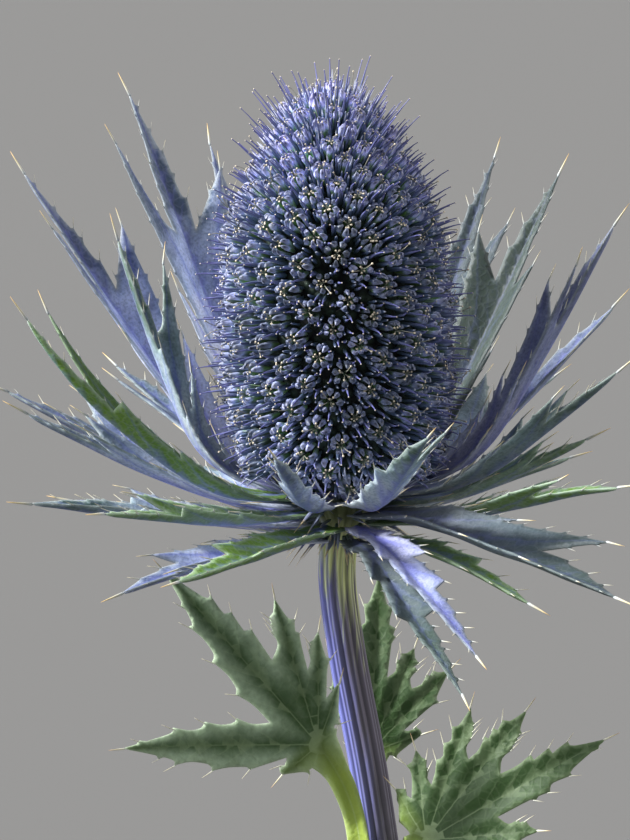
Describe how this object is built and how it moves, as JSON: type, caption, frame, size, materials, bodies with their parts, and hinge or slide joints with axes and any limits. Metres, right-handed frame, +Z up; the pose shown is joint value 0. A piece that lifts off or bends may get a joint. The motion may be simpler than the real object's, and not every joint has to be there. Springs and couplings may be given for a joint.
{
  "type": "sea holly flower in bottle",
  "caption": "Blue sea holly flower head with a bristly cone, spiny bracts and leafy ribbed stem, standing in a small plain glass bottle of water.",
  "frame": {"origin": "centre of the bottle's flat foot, on the surface it stands on", "axes": "+Z up along the bottle's axis and the flower, -Y towards the viewer of the picture, +X to the viewer's right"},
  "size_m": [0.0674, 0.0769, 0.1528],
  "materials": {
    "glass": "clear, smooth",
    "water": "clear, still",
    "stem": "ribbed plant skin, violet-blue and olive green, slightly waxy",
    "florets": "matt, indigo florets with violet bristles and cream specks",
    "bracts": "waxy, steel blue to violet, slate green at the ends, pale yellow spine tips",
    "leaves": "satin green with pale veins and pale spines"
  },
  "bodies": {
    "root": {"bottle": "glass", "bract_lower_01": "bracts", "bract_lower_02": "bracts", "bract_lower_03": "bracts", "bract_lower_04": "bracts", "bract_lower_05": "bracts", "bract_lower_06": "bracts", "bract_lower_07": "bracts", "bract_lower_08": "bracts", "bract_lower_09": "bracts", "bract_lowest_01": "bracts", "bract_lowest_02": "bracts", "bract_lowest_03": "bracts", "bract_lowest_04": "bracts", "bract_lowest_05": "bracts", "bract_lowest_06": "bracts", "bract_lowest_07": "bracts", "bract_middle_01": "bracts", "bract_middle_02": "bracts", "bract_middle_03": "bracts", "bract_middle_04": "bracts", "bract_middle_05": "bracts", "bract_middle_06": "bracts", "bract_middle_07": "bracts", "bract_middle_08": "bracts", "bract_upper_01": "bracts", "bract_upper_02": "bracts", "bract_upper_03": "bracts", "bract_upper_04": "bracts", "bract_upper_05": "bracts", "bract_upper_06": "bracts", "bract_upper_07": "bracts", "bract_upper_08": "bracts", "bract_upper_09": "bracts", "flower_cone": "florets", "leaf_back": "leaves", "leaf_left": "leaves", "leaf_right": "leaves", "stem": "stem", "water": "water"}
  },
  "joints": []
}
